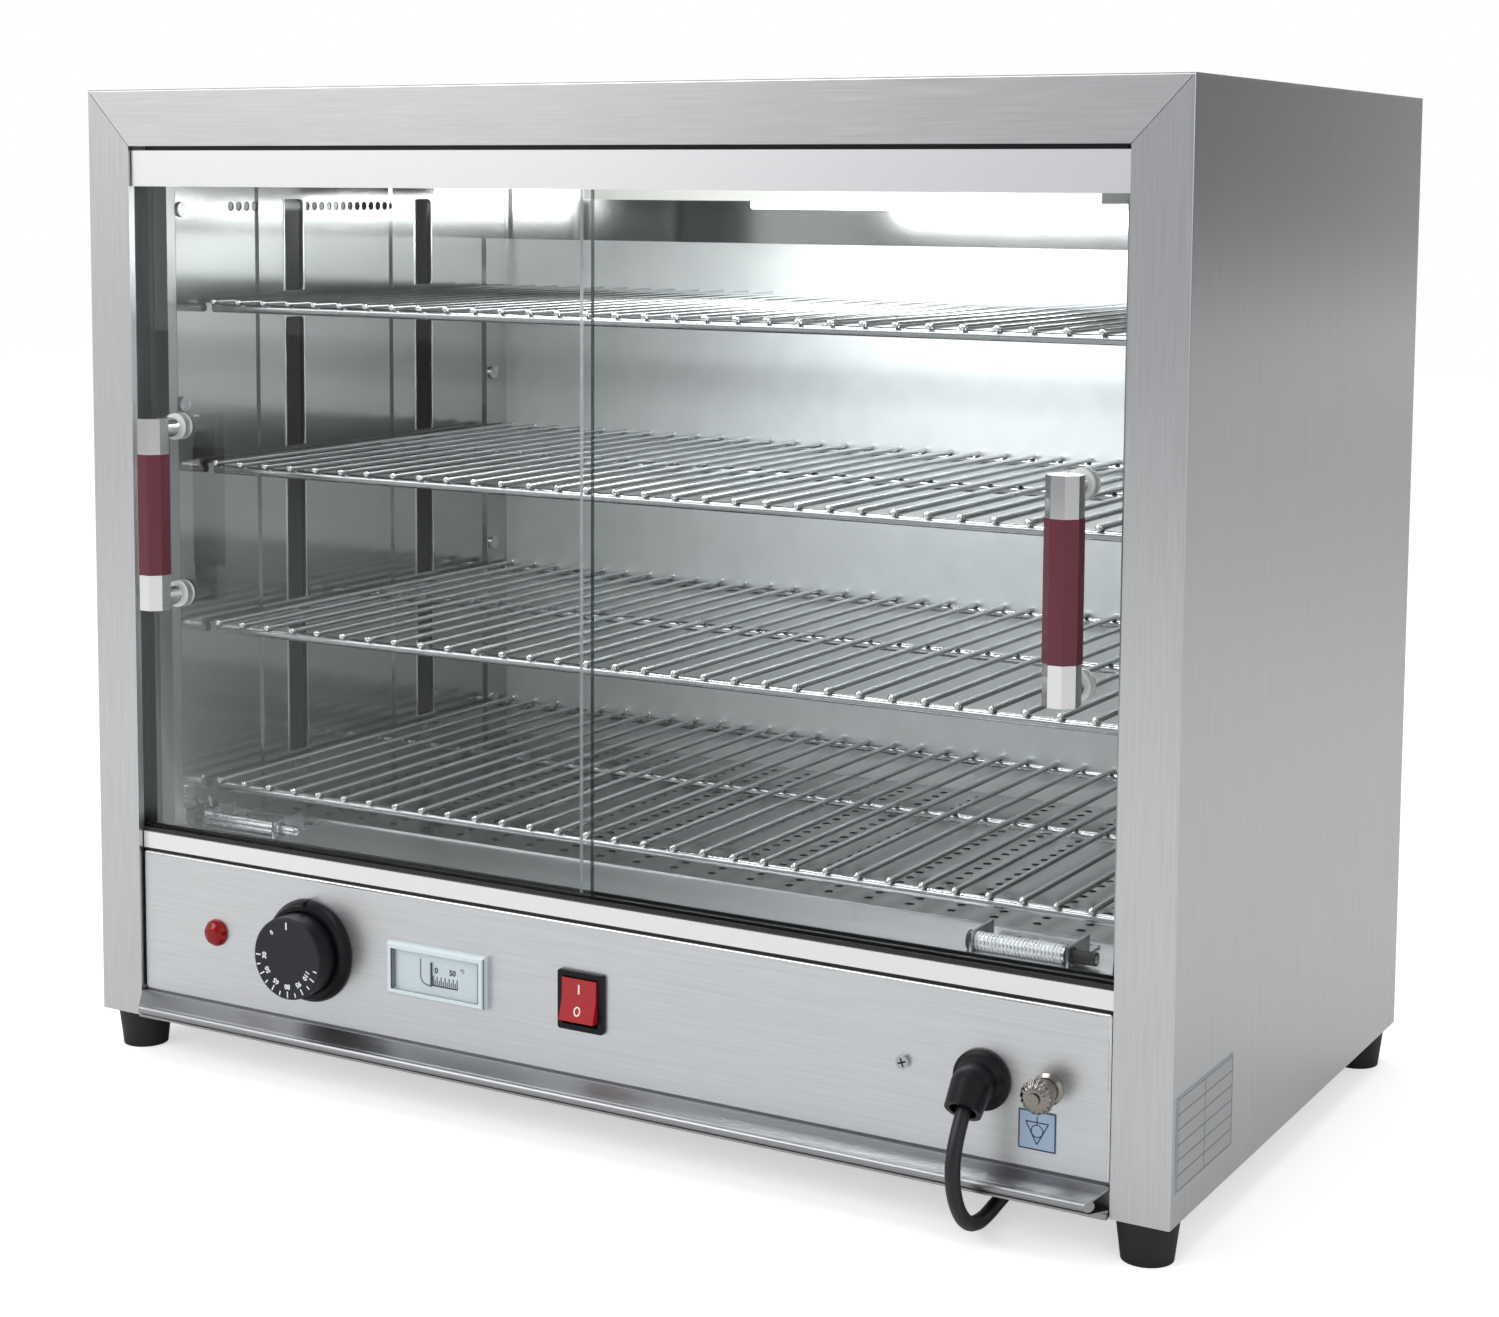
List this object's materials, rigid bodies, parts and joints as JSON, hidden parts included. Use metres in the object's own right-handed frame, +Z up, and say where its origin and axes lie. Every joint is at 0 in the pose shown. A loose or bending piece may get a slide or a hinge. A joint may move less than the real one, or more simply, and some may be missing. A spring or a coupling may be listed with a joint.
{
  "type": "heated display cabinet",
  "caption": "Counter-top heated pizza display cabinet in stainless steel with sliding glass doors, wire shelves, thermostat, thermometer, switch and mains lead.",
  "frame": {"origin": "on the table, under the middle of the cabinet with all that stands out of its front and back, without the cord", "axes": "+X to the right seen from the front, +Y to the back, +Z up"},
  "size_m": [0.6624, 0.5295, 0.556],
  "materials": {
    "steel_front": "fine satin grain",
    "steel_polished": "bright polished sheet",
    "steel_wire": "bright wire",
    "steel_small": "plain",
    "chrome": "polished",
    "brass": "plain",
    "black_track": "satin",
    "black_moulding": "fine texture",
    "knob_slate": "satin",
    "burgundy": "glossy",
    "door_glass": "clear",
    "lamp_red": "clear red",
    "rocker_red": "glossy",
    "case_blue": "pale",
    "pointer_black": "matt",
    "diffuser": "opal, lit",
    "light_white": "white",
    "label_plate": "matt printed",
    "rubber": "matt",
    "cord_black": "satin"
  },
  "bodies": {
    "cabinet": {"back_liner": "steel_polished", "back_panel": "steel_front", "base_pan": "steel_front", "bonding_nut": "chrome", "bonding_stud": "steel_small", "bottom_track": "black_track", "ceiling_liner": "steel_polished", "control_panel": "steel_front", "cord_coil": "cord_black", "cord_gland": "black_moulding", "cord_lead": "cord_black", "door_jambs": "steel_polished", "door_sill": "steel_polished", "element_brackets": "steel_small", "feeler_brackets": "steel_small", "feeler_bulbs": "steel_small", "floor_plate": "steel_small", "front_gutter": "steel_front", "header_strip": "steel_polished", "heating_elements": "steel_small", "indicator_holder": "black_moulding", "indicator_lens": "lamp_red", "label_plates": "label_plate", "left_liner": "steel_polished", "left_side_panel": "steel_front", "light_box": "light_white", "light_diffuser": "diffuser", "plug": "cord_black", "plug_pins": "brass", "right_liner": "steel_polished", "right_side_panel": "steel_front", "rubber_feet": "rubber", "screws": "steel_small", "shelf_1": "steel_wire", "shelf_2": "steel_wire", "shelf_3": "steel_wire", "shelf_4": "steel_wire", "shelf_clips": "steel_small", "shelf_uprights": "steel_polished", "switch_body": "black_moulding", "terminal_block": "light_white", "thermometer_case": "case_blue", "thermometer_window": "door_glass", "thermostat_bezel": "black_moulding", "thermostat_body": "black_moulding", "top_panel": "steel_front", "top_track": "black_track"},
    "left_door": {"left_door_glass": "door_glass", "left_handle_grip": "burgundy", "left_handle_ends": "chrome", "left_handle_fixings": "steel_small"},
    "right_door": {"right_door_glass": "door_glass", "right_handle_grip": "burgundy", "right_handle_ends": "chrome", "right_handle_fixings": "steel_small"},
    "thermostat_knob_body": {"thermostat_knob": "knob_slate", "thermostat_spindle": "steel_small"},
    "rocker": {"switch_rocker": "rocker_red"},
    "temperature_pointer": {"thermometer_pointer": "pointer_black"}
  },
  "joints": [
    {"name": "left_door_slide", "type": "slide", "parent": "cabinet", "child": "left_door", "axis": [1, 0, 0], "range_m": [0, 0.255]},
    {"name": "right_door_slide", "type": "slide", "parent": "cabinet", "child": "right_door", "axis": [1, 0, 0], "range_m": [-0.255, 0]},
    {"name": "thermostat_turn", "type": "hinge", "parent": "cabinet", "child": "thermostat_knob_body", "pos_m": [-0.178, -0.17992, 0.0785], "axis": [0, 1, 0], "range_deg": [0, 260]},
    {"name": "rocker_tilt", "type": "hinge", "parent": "cabinet", "child": "rocker", "pos_m": [0.0032, -0.16392, 0.0785], "axis": [1, 0, 0], "range_deg": [0, 18]},
    {"name": "pointer_slide", "type": "slide", "parent": "cabinet", "child": "temperature_pointer", "axis": [1, 0, 0], "range_m": [0, 0.016]}
  ]
}
